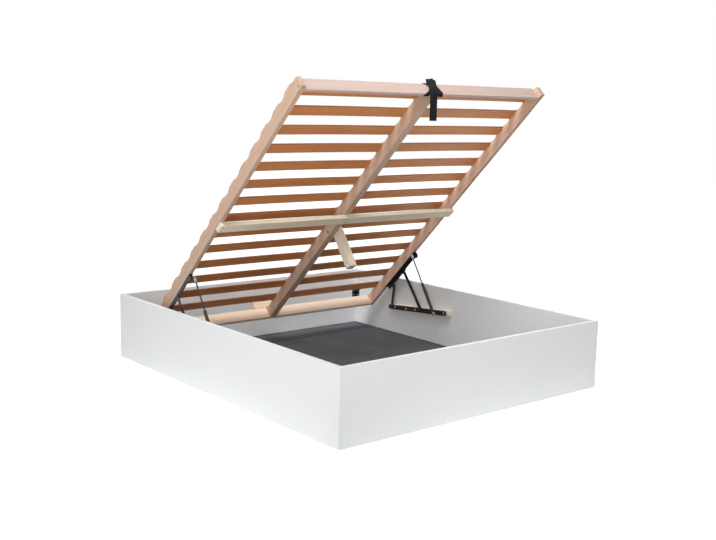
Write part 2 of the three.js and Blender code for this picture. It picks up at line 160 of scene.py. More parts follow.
def remap(tree, value, low, high, to_low, to_high):
    """Stretch one range of values onto another, and hold it there."""
    limits = {"Value": value, "From Min": low, "From Max": high, "To Min": to_low, "To Max": to_high}
    return add_node(tree, "ShaderNodeMapRange", limits).outputs["Result"]


def noise_at(tree, place, spacing, **values):
    """Noise whose cells are a real distance apart."""
    sockets = {"Vector": place, "Scale": 1 / spacing, **values}
    return add_node(tree, "ShaderNodeTexNoise", sockets).outputs["Fac"]


print("helpers for colours and nodes")

# %% [markdown]
# A plain pale room.
# A product shot has no visible room. One large white floor catches the soft shadow under the box. It
# glows for the camera and for reflections only, and least near the box, so that the shadow stays.

# %% Floor
FLOOR_SIZE = 30.0
FLOOR_DROP = 0.0005

floor_shape = bmesh.new()
bmesh.ops.create_grid(floor_shape, x_segments=1, y_segments=1, size=FLOOR_SIZE / 2)
bmesh.ops.translate(floor_shape, vec=(0, 0, -FLOOR_DROP), verts=floor_shape.verts)
floor_mesh = bpy.data.meshes.new("studio_floor")
floor_shape.to_mesh(floor_mesh)
floor_shape.free()
floor = bpy.data.objects.new("studio_floor", floor_mesh)
bpy.context.scene.collection.objects.link(floor)


def seen_directly(tree):
    """One for camera, glossy and transmission rays, and nothing for the rays that light the object."""
    path = add_node(tree, "ShaderNodeLightPath")
    either = add_node(tree, "ShaderNodeMath", operation="MAXIMUM")
    tree.links.new(path.outputs["Is Camera Ray"], either.inputs[0])
    tree.links.new(path.outputs["Is Glossy Ray"], either.inputs[1])
    any_of = add_node(tree, "ShaderNodeMath", operation="MAXIMUM")
    tree.links.new(either.outputs[0], any_of.inputs[0])
    tree.links.new(path.outputs["Is Transmission Ray"], any_of.inputs[1])
    return any_of.outputs[0]


FLOOR_GLOW_NEAR = 0.55
FLOOR_GLOW_FAR = 1.0
GLOW_STARTS = 1.6
GLOW_ENDS = 5.0
floor_finish, tree, shader = new_finish("studio_paper", Base_Color=linear("#F4F4F4"), Roughness=0.9)
from_middle = add_node(tree, "ShaderNodeVectorMath", operation="LENGTH")
tree.links.new(add_node(tree, "ShaderNodeTexCoord").outputs["Object"], from_middle.inputs[0])
glow = add_node(tree, "ShaderNodeMapRange", {
    "Value": from_middle.outputs["Value"],
    "From Min": GLOW_STARTS,
    "From Max": GLOW_ENDS,
    "To Min": FLOOR_GLOW_NEAR,
    "To Max": FLOOR_GLOW_FAR,
}, interpolation_type="SMOOTHSTEP")
seen_glow = add_node(tree, "ShaderNodeMath", operation="MULTIPLY")
tree.links.new(seen_directly(tree), seen_glow.inputs[0])
tree.links.new(glow.outputs["Result"], seen_glow.inputs[1])
tree.links.new(seen_glow.outputs[0], shader.inputs["Emission Strength"])
shader.inputs["Emission Color"].default_value = (1, 1, 1, 1)
floor_mesh.materials.append(floor_finish)
print("floor", FLOOR_SIZE, "m wide")

# %% [markdown]
# World and lamps.
# The world is white for the camera and for reflections, and dim for the rays that light the object.
# Five softboxes do the lighting. They are kept low enough that a colour renders about as it is written.

# %% World and lamps
WORLD_LEVEL = 0.30
world = bpy.data.worlds.new("studio")
bpy.context.scene.world = world
world.use_nodes = True
tree = world.node_tree
background = tree.nodes["Background"]
level = remap(tree, seen_directly(tree), 0.0, 1.0, WORLD_LEVEL, 1.0)
tree.links.new(level, background.inputs["Strength"])
background.inputs["Color"].default_value = (1, 1, 1, 1)


def soft_lamp(name, place, target, size, watts, spread=180):
    """A square softbox that faces a point. A grid on its front can narrow its beam, in degrees."""
    data = bpy.data.lights.new(name, "AREA")
    data.shape = "SQUARE"
    data.size = size
    data.energy = watts
    data.spread = math.radians(spread)
    lamp = bpy.data.objects.new(name, data)
    bpy.context.scene.collection.objects.link(lamp)
    aim = (Vector(target) - Vector(place)).to_track_quat("-Z", "Y")
    lamp.matrix_world = Matrix.Translation(place) @ aim.to_matrix().to_4x4()


soft_lamp("softbox_left", (-9.0, -3.5, 7.0), (0, 0, 0.3), 5.5, 135)
soft_lamp("softbox_side", (-7.0, -5.5, 2.4), (0, 0, 0.3), 2.5, 120)
soft_lamp("softbox_front", (-1.5, -10.5, 1.6), (0, 0, 0.6), 3.0, 12)
soft_lamp("softbox_top", (-1.4, -1.2, 4.5), (0.4, 0, 0.1), 2.5, 25, spread=50)
soft_lamp("softbox_floor", (-2.4, -2.7, 0.05), (-2.4, -2.7, 3.0), 1.4, 65)
print("world and five softboxes")

# %% [markdown]
# Wood.
# Beech shows fine fibres along its length, short darker flecks and slow changes of tone. All three
# are noise stretched along the grain. The lid's timbers lean with the lid, so the pattern is turned
# back by the same angle first and then stretched along one axis.

# %% Wood finish
RING_SPACING = 22 * MM
FLECK_SPACING = 2.2 * MM
FLECK_STRETCH = 7
FLECK_DEPTH = 0.35
FIBRE_RELIEF = 0.15 * MM


def along_grain(tree, place, axis, stretch):
    """Draw a pattern out along one axis."""
    squash = [1.0, 1.0, 1.0]
    squash["XYZ".index(axis)] = 1 / stretch
    return add_node(tree, "ShaderNodeMapping", {"Vector": place, "Scale": squash}).outputs["Vector"]


def wood(name, pale, dark, along="X", tilt=0.0, fibre=3.0, stretch=45.0, roughness=0.5):
    """Sawn or veneered wood. fibre is the fibre spacing in mm, stretch its length over its width."""
    finish, tree, shader = new_finish(name, Roughness=roughness, IOR=1.5)
    here = add_node(tree, "ShaderNodeTexCoord").outputs["Object"]
    turned_back = add_node(tree, "ShaderNodeMapping", {"Vector": here, "Rotation": (tilt, 0, 0)})
    straight = turned_back.outputs["Vector"]
    grain = along_grain(tree, straight, along, stretch)
    fibres = noise_at(tree, grain, fibre * MM, Detail=5.0, Roughness=0.6)
    rings = noise_at(tree, grain, RING_SPACING, Detail=2.0, Distortion=0.6)
    short = along_grain(tree, straight, along, FLECK_STRETCH)
    flecks = noise_at(tree, short, FLECK_SPACING, Detail=1.0)
    mixed = add_node(tree, "ShaderNodeMix", {"Factor": 0.5, "A": fibres, "B": rings}).outputs["Result"]
    summed = add_node(tree, "ShaderNodeMath", operation="ADD", use_clamp=True)
    tree.links.new(remap(tree, mixed, 0.25, 0.75, 0.0, 1.0), summed.inputs[0])
    tree.links.new(remap(tree, flecks, 0.6, 0.75, 0.0, FLECK_DEPTH), summed.inputs[1])
    tree.links.new(colour_between(tree, summed.outputs[0], pale, dark), shader.inputs["Base Color"])
    gloss = remap(tree, fibres, 0.0, 1.0, roughness - 0.08, roughness + 0.12)
    tree.links.new(gloss, shader.inputs["Roughness"])
    give_bump(tree, shader, fibres, FIBRE_RELIEF, 0.5)
    return finish


beech_rail = wood("lacquered_beech_rail", "#D2B5A0", "#BC977D", along="Y", tilt=LID_TILT)
# Painted light: the right rail's faces are painted paler than the left rail's beech, for the light on its inner
# face.
right_rail_painted_light = wood("beech_rail_painted_light", "#EDCCB4", "#D4AA8D", along="Y", tilt=LID_TILT)
# Painted shade: the right rail's underside is painted darker than its faces, for the shade under it.
right_underside_shade = wood("beech_rail_underside_painted_shade", "#C3A895", "#AF8C74", along="Y", tilt=LID_TILT, roughness=0.6)
beech_cross = wood("lacquered_beech_crosswise", "#C9B7AE", "#BA9D91", tilt=LID_TILT)
# Painted highlight: the spacer blocks are painted nearly white, paler than the beech rails, for the light along
# their top edge and end.
block_painted_highlight = wood("spacer_beech_painted_highlight", "#FBF0E2", "#EFDAC4", along="Y", roughness=0.55)
pale_rail = wood("planed_pine_rail", "#F6E0CC", "#E8C8AC", tilt=LID_TILT, roughness=0.6)
# Painted light: the leg is painted nearly white, paler than the other pine, for the strong light falling on it.
leg_painted_light = wood("pine_leg_painted_light", "#FFF4E4", "#F6E2CA", along="Z", tilt=LEG_TILT, fibre=4.0, roughness=0.6)
board_pine = wood("planed_pine_board", "#E8D1BB", "#D8B99B", tilt=LID_TILT, roughness=0.6)
grey_cross = wood("planed_birch_crossbar", "#F6EAD2", "#E6D7BC", tilt=LID_TILT, fibre=4.0, roughness=0.65)
slat_face = wood("glued_veneer_slat", "#E0975D", "#BF7540", tilt=LID_TILT, fibre=2.5, roughness=0.42)
# Painted shade: a narrow band along each slat's long edges is painted darker than its faces.
slat_rim_shade = wood("slat_rim_painted_shade", "#9C6840", "#7A4A2A", tilt=LID_TILT, fibre=1.5, roughness=0.55)
end_grain = wood(
    "sawn_beech_end_grain", "#C9AFA0", "#A88C7C", along="Z", fibre=1.2, stretch=2.0, roughness=0.7,
)
print("wood finishes ready")

# %% [markdown]
# Board, steel and plastic.
# The white panels are foil-faced board: almost even, with the faint waviness of a pressed film. The
# linkage is steel with a satin black paint, and the fasteners are zinc plated, which leaves a mottled
# grey.

# %% Board, steel and plastic finishes
def mottled(name, first, second, spot, bump, **values):
    """An even finish with a slow change of colour, and a fine bump. Both sizes are in millimetres."""
    finish, tree, shader = new_finish(name, **values)
    here = add_node(tree, "ShaderNodeTexCoord").outputs["Object"]
    patches = noise_at(tree, here, spot * MM, Detail=3.0)
    tree.links.new(colour_between(tree, patches, first, second), shader.inputs["Base Color"])
    grit = noise_at(tree, here, bump * MM, Detail=2.0)
    base = shader.inputs["Roughness"].default_value
    gloss = remap(tree, grit, 0.0, 1.0, base - 0.06, base + 0.06)
    tree.links.new(gloss, shader.inputs["Roughness"])
    give_bump(tree, shader, grit, 0.02 * bump * MM, 0.6)
    return finish


white_board = mottled("white_foil_board", "#F1F3F4", "#EBEDEE", 400, 3, Roughness=0.34, IOR=1.5)
black_paint = mottled("satin_black_painted_steel", "#0C0C0D", "#161618", 30, 1.5, Roughness=0.45, IOR=1.5)
zinc = mottled("zinc_plated_steel", "#D6D7D8", "#A9ABAC", 3, 0.8, Roughness=0.32, Metallic=1.0)
rod_steel = mottled("black_nitrided_piston_rod", "#121214", "#0C0C0E", 20, 0.6, Roughness=0.4, IOR=1.5)
dull_zinc = mottled("dull_zinc_plated_bolt", "#8F9091", "#6E6F70", 3, 0.8, Roughness=0.5, Metallic=0.8)
socket_plastic = mottled("grey_moulded_socket", "#C4C5C5", "#B2B4B4", 8, 1, Roughness=0.45, IOR=1.46)
glide_plastic = mottled("pale_green_moulded_glide", "#DDE8D8", "#CCDAC8", 12, 1.2, Roughness=0.5, IOR=1.46)
# Painted shade: a narrow ring round the cloth is painted near-black, for the shade where the cloth meets the
# walls.
cloth_rim_shade = mottled("cloth_rim_painted_shade", "#1B1B1D", "#232325", 20, 2, Roughness=0.92, IOR=1.4)
print("board, steel and plastic finishes ready")

# %% [markdown]
# Cloth and webbing.
# The floor cloth is pressed from fibres, so it is matt with a fine dotted surface. The webbing is
# woven, so it has ribs both ways. Both patterns run on the piece's own unwrapped coordinates, in
# metres, because the cloth and the ribbons are bent.

# %% Cloth and webbing finishes
def pressed_cloth():
    """Dark non-woven cloth: matt, slightly streaky, with the dots of the hot roller that bonds it."""
    finish, tree, shader = new_finish("dark_nonwoven_cloth", Roughness=0.92, IOR=1.4)
    here = add_node(tree, "ShaderNodeUVMap", uv_map="cloth").outputs["UV"]
    fibres = noise_at(tree, here, 6 * MM, Detail=6.0, Roughness=0.7)
    slow = noise_at(tree, here, 200 * MM, Detail=2.0)
    both = add_node(tree, "ShaderNodeMix", {"Factor": 0.45, "A": fibres, "B": slow}).outputs["Result"]
    tree.links.new(colour_between(tree, both, "#4A4A4E", "#6D6D73"), shader.inputs["Base Color"])
    dotted = {"Vector": here, "Scale": 1 / (4 * MM), "Randomness": 0.15}
    dots = add_node(tree, "ShaderNodeTexVoronoi", dotted)
    give_bump(tree, shader, dots.outputs["Distance"], 0.3 * MM, 0.5)
    return finish


WAVE_LENGTH = 0.314


def ribs(tree, place, width, wander, direction):
    """Even ribs of a real width. A wave texture of scale one repeats every WAVE_LENGTH metres."""
    sockets = {"Vector": place, "Scale": WAVE_LENGTH / width / 2, "Distortion": wander}
    return add_node(tree, "ShaderNodeTexWave", sockets, bands_direction=direction).outputs["Fac"]


def woven_band():
    """Black webbing: warp ribs 3 mm wide along the band, and weft ribs 2 mm wide across it."""
    finish, tree, shader = new_finish("black_woven_webbing", Roughness=0.85, IOR=1.3)
    here = add_node(tree, "ShaderNodeUVMap", uv_map="band").outputs["UV"]
    weft = ribs(tree, here, 2 * MM, 0.4, "Y")
    warp = ribs(tree, here, 3 * MM, 0.3, "X")
    both = add_node(tree, "ShaderNodeMix", {"Factor": 0.5, "A": weft, "B": warp}).outputs["Result"]
    tree.links.new(colour_between(tree, both, "#08090A", "#191A1D"), shader.inputs["Base Color"])
    give_bump(tree, shader, both, 0.4 * MM, 0.8)
    return finish


cloth_finish = pressed_cloth()
band_finish = woven_band()
print("cloth and webbing finishes ready")

# %% [markdown]
# Dressing a solid.
# The construction's solids have knife edges, and nothing real does. The quickest honest way to finish
# one is to copy it, merge its loose triangles into flat faces, round its sharp edges by a small
# radius and let the large faces keep their own normals. The copy then stands for the solid.

# %% Helpers that finish a piece
body_of = {
    node: body for body, nodes in frame["record"]["behaviour"]["bodies"].items() for node in nodes
}


def add_piece(name, shape, finish, body, smooth_below=40):
    """Turn a bmesh into an object with a finish, smooth across shallow edges, riding on a body."""
    mesh = bpy.data.meshes.new(name)
    shape.to_mesh(mesh)
    shape.free()
    mesh.materials.append(finish)
    mesh.polygons.foreach_set("use_smooth", [True] * len(mesh.polygons))
    mesh.set_sharp_from_angle(angle=math.radians(smooth_below))
    piece = bpy.data.objects.new(name, mesh)
    bpy.context.scene.collection.objects.link(piece)
    even = piece.modifiers.new("even_normals", "WEIGHTED_NORMAL")
    even.keep_sharp = True
    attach(piece, body)
    return piece


def merged_copy(node):
    """A bmesh of a node's solid with its triangles merged into flat faces."""
    shape = bmesh.new()
    shape.from_mesh(frame["nodes"][node].data)
    bmesh.ops.remove_doubles(shape, verts=shape.verts, dist=0.01 * MM)
    bmesh.ops.dissolve_limit(shape, angle_limit=math.radians(0.5), verts=shape.verts, edges=shape.edges)
    return shape


SHARP_ABOVE = math.radians(40)


def round_edges(shape, radius, segments=2):
    """Bevel every sharp edge of a bmesh."""
    sharp = [e for e in shape.edges if len(e.link_faces) == 2 and e.calc_face_angle() > SHARP_ABOVE]
    bmesh.ops.bevel(
        shape, geom=sharp, offset=radius, offset_type="OFFSET", segments=segments, profile=0.5,
        affect="EDGES", clamp_overlap=True, material=-1,
    )


def dress(node, finish, radius, segments=2):
    """Stand a rounded copy in for a node."""
    shape = merged_copy(node)
    round_edges(shape, radius, segments)
    piece = add_piece(f"{node}_finished", shape, finish, body_of[node])
    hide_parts(node)


print("helpers that finish a piece")

# %% [markdown]
# The box.
# Four panels of foil-faced board meet in mitres, so no raw edge shows. Their edges are rounded by
# half a millimetre, which gives each one the thin bright line that a real edge has.

# %% Panels and corner plates
PANEL_ROUND = 0.6 * MM
STEEL_ROUND = 0.5 * MM

for side in ("foot", "head", "left", "right"):
    dress(f"panel_{side}", white_board, PANEL_ROUND)

for end in ("foot", "head"):
    dress(f"corner_bracket_{end}", black_paint, STEEL_ROUND, segments=1)
    shape = merged_copy(f"corner_bracket_{end}")
    bmesh.ops.scale(shape, vec=(-1, 1, 1), verts=shape.verts)
    bmesh.ops.reverse_faces(shape, faces=shape.faces)
    round_edges(shape, STEEL_ROUND, segments=1)
    add_piece(f"corner_bracket_{end}_left", shape, black_paint, "box_base")
print("four panels and four angle plates")

# %% [markdown]
# The floor cloth.
# A thin dark cloth is laid in the box and stapled under it. It was folded flat in its carton, so it
# keeps soft creases, and it rides up a little where it meets the walls. A fine grid is enough: each
# point is lifted by a height that adds up creases, slow waves and the turned-up rim.

# %% Heights of the cloth
CLOTH_WIDTH = 1.685
CLOTH_LENGTH = 1.935
CLOTH_THICKNESS = 1.0 * MM
CREASES_ACROSS = ((0.765, 8.0), (0.235, 2.5), (-0.30, 3.5), (-0.62, 7.0))
CREASES_ALONG = ((0.27, 2.2), (-0.33, 2.2))
CREASE_HALF_WIDTH = 0.036
LEG_FOOT = Vector((0.045, 0.14))
LEG_CLEAR = 0.16
SHADE_RIM_WIDTH = 0.010
CLOTH_LIFT = 5.0 * MM
RIM_RISE = 3 * MM
NEAR_FLOOR = 2.0 * MM
LEAST_HEIGHT = 1.3 * MM
GRID = (150, 172)


def crease(distance, depth):
    """A narrow valley with a soft ridge on each side, in metres."""
    reach = abs(distance) / CREASE_HALF_WIDTH
    return depth * MM * (0.8 * math.exp(-((reach - 1.3) ** 2)) - math.exp(-(reach ** 2) * 3.0))


def cloth_height(x, y):
    """How far the cloth stands off the floor at a point."""
    wander = 0.012 * noise.noise(Vector((x * 2.2, y * 2.2, 3.1)))
    height = sum(crease(y - place + wander, depth) for place, depth in CREASES_ACROSS)
    height += sum(crease(x - place + wander, depth) for place, depth in CREASES_ALONG)
    height += 4.5 * MM * noise.noise(Vector((x * 1.9 + y * 0.7, y * 2.6, 0.4)))
    height += 2.2 * MM * noise.noise(Vector((x * 5.5 - y * 1.5, y * 3.4, 7.7)))
    rim = min(CLOTH_WIDTH / 2 - abs(x), CLOTH_LENGTH / 2 - abs(y))
    height *= min(1.0, 0.15 + rim / 0.12)
    height += RIM_RISE * math.exp(-rim / 0.02) + CLOTH_LIFT
    near_leg = min(1.0, (Vector((x, y)) - LEG_FOOT).length / LEG_CLEAR)
    return max(LEAST_HEIGHT, NEAR_FLOOR + (height - NEAR_FLOOR) * near_leg ** 2)


print("the cloth is", round(cloth_height(0, 0) / MM, 1), "mm high in the middle")

# %% [markdown]
# Laying the cloth.
# The flat grid first keeps its flat coordinates for the pattern and its outer ring for painted shade
# along the walls, and then every point goes to its place and height. The thickness is added under
# the surface.

# %% Lay the cloth
shape = bmesh.new()
cloth_map = shape.loops.layers.uv.new("cloth")
bmesh.ops.create_grid(shape, x_segments=GRID[0], y_segments=GRID[1], size=0.5, calc_uvs=True)
for face in shape.faces:
    for corner in face.loops:
        flat = corner.vert.co
        corner[cloth_map].uv = (flat.x * CLOTH_WIDTH, flat.y * CLOTH_LENGTH)
for patch in shape.faces:
    middle = patch.calc_center_median()
    rim = min(CLOTH_WIDTH * (0.5 - abs(middle.x)), CLOTH_LENGTH * (0.5 - abs(middle.y)))
    # The outer ring takes the second finish, which is painted shade.
    patch.material_index = int(rim < SHADE_RIM_WIDTH)
for point in shape.verts:
    x, y = point.co.x * CLOTH_WIDTH, point.co.y * CLOTH_LENGTH
    point.co = Vector((x, y, cloth_height(x, y)))
print("cloth stands up to", round(max(v.co.z for v in shape.verts) / MM, 1), "mm high")
cloth = add_piece("floor_cloth_laid", shape, cloth_finish, "box_base", smooth_below=80)
cloth.data.materials.append(cloth_rim_shade)
thick = cloth.modifiers.new("thickness", "SOLIDIFY")
thick.thickness = CLOTH_THICKNESS
thick.offset = -1
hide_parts("floor_cloth")
print("cloth", CLOTH_WIDTH, "by", CLOTH_LENGTH, "m")

# %% [markdown]
# Rails with humps.
# Each rail rises in a low smooth hump at every slat, because the slat's end sits in a slot there.
# The side view of a rail is one outline, so it is drawn once, extruded across the rail's thickness,
# and its edges are rounded. The humps' ramps follow half a cosine wave.

# %% Side view of a rail
RAIL_VALLEY = 0.060
RAIL_HUMP = 0.070
RAIL_END = 0.068
HUMP_FLAT = 0.042
HUMP_RAMP = 0.034
RAMP_STEPS = 5
SLATS_PER_SIDE = 14
FIRST_SLAT = 0.069
SLAT_PITCH = 0.1274
EVEN_STEPS = 9
HEAD_EXTRA = 5.9 * MM
RAIL_INNER = 0.775
RAIL_OUTER = 0.800
RAIL_NOSE = 0.017
RAIL_HEAD = LID_LENGTH + 0.008
END_GRAIN_BEFORE = -0.016
UNDER_BELOW = 0.5 * MM
HEAD_RAMP = (0.030, 0.018)
CENTRE_HALF = 0.0225
CENTRE_START = 0.0223
CENTRE_FOOT_HEIGHT = 0.0695
slat_places = [
    FIRST_SLAT + k * SLAT_PITCH + max(0, k - EVEN_STEPS) * HEAD_EXTRA
    for k in range(SLATS_PER_SIDE)
]


def hump(centre):
    """The outline of one hump, from its foot side to its head side."""
    rising = []
    for step in range(RAMP_STEPS + 1):
        share = step / RAMP_STEPS
        height = RAIL_VALLEY + (RAIL_HUMP - RAIL_VALLEY) * (1 - math.cos(math.pi * share)) / 2
        rising.append((-HUMP_FLAT / 2 - HUMP_RAMP * (1 - share), height))
    falling = [(-offset, height) for offset, height in reversed(rising)]
    return [(centre + offset, height) for offset, height in rising + falling]


def rail(name, node, x_low, x_high, start, end, foot_profile, face_finish, under_finish):
    """Extrude a rail's side view across its thickness. The underside takes its own finish."""
    outline = [(start, 0.0)] + foot_profile
    for centre in slat_places:
        outline += [spot for spot in hump(centre) if spot[0] > outline[-1][0] + 1 * MM]
    outline += [(end - HEAD_RAMP[0], RAIL_VALLEY), (end - HEAD_RAMP[1], RAIL_END)]
    outline += [(end, RAIL_END), (end, 0.0)]
    shape = bmesh.new()
    face = shape.faces.new([shape.verts.new((x_low, s, n)) for s, n in outline])
    grown = bmesh.ops.extrude_face_region(shape, geom=[face])
    moved = [item for item in grown["geom"] if isinstance(item, bmesh.types.BMVert)]
    bmesh.ops.translate(shape, vec=(x_high - x_low, 0, 0), verts=moved)
    bmesh.ops.recalc_face_normals(shape, faces=shape.faces)
    for side_face in shape.faces:
        spot = side_face.calc_center_median()
        # Index 1 is the end face and index 2 the underside, which takes painted shade on the right rail.
        side_face.material_index = 1 if spot.y < END_GRAIN_BEFORE else 2 if spot.z < UNDER_BELOW else 0
    round_edges(shape, 1.8 * MM, segments=3)
    bmesh.ops.transform(shape, matrix=LID, verts=shape.verts)
    piece = add_piece(name, shape, face_finish, "lift_frame")
    piece.data.materials.append(end_grain)
    piece.data.materials.append(under_finish)
    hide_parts(node)


print("slats stand at", [round(place, 4) for place in slat_places])

# %% [markdown]
# Three long rails and four cross pieces.
# The side rails end in a rounded nose at the foot. The centre rail is thicker, starts behind the foot
# rail and ends at the head rail. The straight cross pieces only need their edges rounded.

# %% Build the rails
NOSE = [(-RAIL_NOSE, 0.050), (-0.0163, 0.0545), (-0.0135, 0.0580), (-0.007, RAIL_VALLEY)]
# The right rail carries painted light on its faces and painted shade on its underside; the left rail is plain
# beech all round.
SIDE_RAILS = (("left", -1, beech_rail, beech_rail), ("right", 1, right_rail_painted_light, right_underside_shade))
for side, hand, face_finish, under_finish in SIDE_RAILS:
    x_low, x_high = sorted((hand * RAIL_INNER, hand * RAIL_OUTER))
    names = (f"side_rail_{side}_humped", f"side_rail_{side}")
    rail(*names, x_low, x_high, -RAIL_NOSE, RAIL_HEAD, NOSE, face_finish, under_finish)
centre_ends = (CENTRE_START, RAIL_HEAD - CENTRE_START, [(CENTRE_START, CENTRE_FOOT_HEIGHT)])
rail("centre_rail_humped", "centre_rail", -CENTRE_HALF, CENTRE_HALF, *centre_ends, beech_rail, beech_rail)

for node, finish, radius in (
    ("foot_rail", beech_cross, 2.5 * MM), ("head_rail", pale_rail, 2.0 * MM),
    ("head_block", board_pine, 1.2 * MM), ("crossbar", grey_cross, 1.5 * MM),
):
    dress(node, finish, radius, segments=3)
print("three humped rails, two end rails, head board and crossbar")

# %% [markdown]
# Sprung slats.
# A slat is glued from thin veneers in a curved press, so it bows up by a few millimetres in the
# middle and its long edges are round, with painted shade on a narrow band along each. Each slat
# is a stretched cube, rounded, cut into lengths and bowed, and then moved to its place along the lid.

# %% Slats
SLAT_WIDTH = 0.062
SLAT_THICKNESS = 0.008
SLAT_UNDERSIDE = 0.0575
SLAT_IN = 0.0108
SLAT_OUT = 0.7867
SLAT_BOW = 2.0 * MM
SLAT_CUTS = 15
SLAT_SHADE_BAND = 2.4 * MM
SLAT_ROUND = 2.6 * MM


def slat(side, number, s_middle):
    """One bowed slat in the left or right column."""
    length = SLAT_OUT - SLAT_IN
    shape = bmesh.new()
    bmesh.ops.create_cube(shape, size=1.0)
    bmesh.ops.scale(shape, vec=(length, SLAT_WIDTH, SLAT_THICKNESS), verts=shape.verts)
    round_edges(shape, SLAT_ROUND, segments=3)
    lengthwise = [e for e in shape.edges if abs(e.verts[0].co.x - e.verts[1].co.x) > length * 0.9]
    bmesh.ops.subdivide_edges(shape, edges=lengthwise, cuts=SLAT_CUTS, use_grid_fill=False)
    for point in shape.verts:
        share = point.co.x / (length / 2)
        point.co.z += SLAT_BOW * (1 - share ** 2)
    hand = -1 if side == "left" else 1
    middle = (hand * (SLAT_IN + SLAT_OUT) / 2, s_middle, SLAT_UNDERSIDE + SLAT_THICKNESS / 2)
    for strip in shape.faces:
        # The strips along both long edges take the second finish, which is painted shade.
        strip.material_index = int(abs(strip.calc_center_median().y) > SLAT_WIDTH / 2 - SLAT_SHADE_BAND)
    bmesh.ops.translate(shape, vec=middle, verts=shape.verts)
    bmesh.ops.transform(shape, matrix=LID, verts=shape.verts)
    piece = add_piece(f"slat_{side}_{number:02d}_bowed", shape, slat_face, "lift_frame", smooth_below=50)
    piece.data.materials.append(slat_rim_shade)
    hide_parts(f"slat_{side}_{number:02d}")


for side in ("left", "right"):
    for k, place in enumerate(slat_places):
        slat(side, k + 1, place)
print(2 * SLATS_PER_SIDE, "slats")

# %% [markdown]
# The lift.
# On each side a base bar is bolted to a beech block on the panel. A rear and a front arm run from it
# to the bracket under the lid, and a gas strut pushes between them. The flat steel parts are stamped,
# so they only need their edges broken.

# %% Lift linkage
for side in ("left", "right"):
    dress(f"spacer_block_{side}", block_painted_highlight, 1.2 * MM)
    for node in ("base_bar", "rear_arm", "front_arm", "lid_bracket"):
        dress(f"{node}_{side}", black_paint, STEEL_ROUND, segments=1)
print("blocks, bars, arms and lid brackets")

# %% [markdown]
# Gas struts.
# A strut is a tube with a rolled end, a rod that slides in it, and an eye or a socket at each end. All
# of them are round, so each is an outline spun round the Z axis and then laid along the strut.

# %% Gas struts
def turned(name, outline, matrix, finish, body, steps=40):
    """Spin an outline of (radius, distance along the axis) round the Z axis, then put it in place."""
    shape = bmesh.new()
    points = [shape.verts.new((radius, 0, along)) for radius, along in outline]
    edges = [shape.edges.new(pair) for pair in zip(points, points[1:])]
    bmesh.ops.spin(
        shape, geom=points + edges, cent=(0, 0, 0), axis=(0, 0, 1), angle=2 * math.pi, steps=steps,
        use_merge=True,
    )
    bmesh.ops.remove_doubles(shape, verts=shape.verts, dist=0.005 * MM)
    bmesh.ops.recalc_face_normals(shape, faces=shape.faces)
    bmesh.ops.transform(shape, matrix=matrix, verts=shape.verts)
    return add_piece(name, shape, finish, body, smooth_below=35)


def rounded_rod(radius, start, end, edge):
    """The outline of a solid rod with softened ends."""
    near = 0.3 * edge
    return [
        (0, start), (radius - edge, start), (radius - near, start + near), (radius, start + edge),
        (radius, end - edge), (radius - near, end - near), (radius - edge, end), (0, end),
    ]


STRUT_REACH = 0.3867
ROD_START = 0.184
ROD_SHORT = 0.018
ROD_RADIUS = 0.0040
NECK_RADIUS = 0.0048
SOFT_END = 0.5 * MM
TUBE_END = 0.204
across = Matrix.Rotation(math.radians(90), 4, "Y")
rod_axis = Vector(next(j["axis"] for j in frame["joints"] if j["name"] == "strut_rod_left_slide"))
strut_turn = Matrix.Rotation(math.atan2(rod_axis.z, rod_axis.y) - math.pi / 2, 4, "X")

print("outlines are spun round the axis", [round(value, 3) for value in rod_axis])

# %% [markdown]
# Outlines of the strut.
# Each outline lists its distance from the axis and its place along it, in metres from the lower pivot.
# The tube is open at its top, where the rod comes out.

# %% Spin the struts
TUBE_OUTLINE = [
    (0, 0.012), (0.0060, 0.012), (0.0082, 0.0135), (0.0090, 0.0165), (0.0090, 0.190),
    (0.0086, 0.1915), (0.0086, 0.1935), (0.0090, 0.195), (0.0090, 0.2010), (0.0078, 0.2034),
    (0.0062, TUBE_END), (0.0045, 0.2036), (0.0045, 0.060), (0, 0.060),
]
EYE_OUTLINE = [
    (0.0044, -0.0045), (0.0080, -0.0048), (0.0090, -0.0038), (0.0090, 0.0038), (0.0080, 0.0048),
    (0.0044, 0.0045), (0.0044, -0.0045),
]
NECK_OUTLINE = rounded_rod(NECK_RADIUS, 0.0075, 0.0135, SOFT_END)
ROD_OUTLINE = rounded_rod(ROD_RADIUS, ROD_START, STRUT_REACH - ROD_SHORT, SOFT_END)
SOCKET_OUTLINE = [
    (0, 0.3640), (0.0052, 0.3640), (0.0058, 0.3648), (0.0058, 0.3740), (0.0072, 0.3775),
    (0.0080, 0.3825), (0.0081, 0.3875), (0.0070, 0.3925), (0.0045, 0.3950), (0, 0.3955),
]

for side in ("left", "right"):
    foot = joint_at[f"strut_cylinder_{side}_hinge"]
    along_strut = Matrix.Translation(foot) @ strut_turn
    eye_turn = Matrix.Translation(foot) @ across
    cylinder, rod = f"strut_cylinder_{side}", f"strut_rod_{side}"
    tube = turned(f"strut_tube_{side}", TUBE_OUTLINE, along_strut, black_paint, cylinder)
    eye = turned(f"strut_foot_eye_{side}", EYE_OUTLINE, eye_turn, zinc, cylinder, steps=28)
    neck = turned(f"strut_foot_neck_{side}", NECK_OUTLINE, along_strut, zinc, cylinder, steps=24)
    piston = turned(f"strut_rod_{side}_turned", ROD_OUTLINE, along_strut, rod_steel, rod, steps=28)
    socket = turned(f"strut_top_socket_{side}", SOCKET_OUTLINE, along_strut, socket_plastic, rod, steps=28)
    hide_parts(cylinder)
    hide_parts(rod)
print("two gas struts, turned from", round(TUBE_END / MM), "mm tubes")

# %% [markdown]
# Screws and bolts.
# All the fasteners are the same idea at different sizes: a flat-sided head that narrows a little
# towards its top, with a recess for the driver. They are gathered by what they are fixed to, so that
# one object holds all the heads on the box and another all those on the lid.

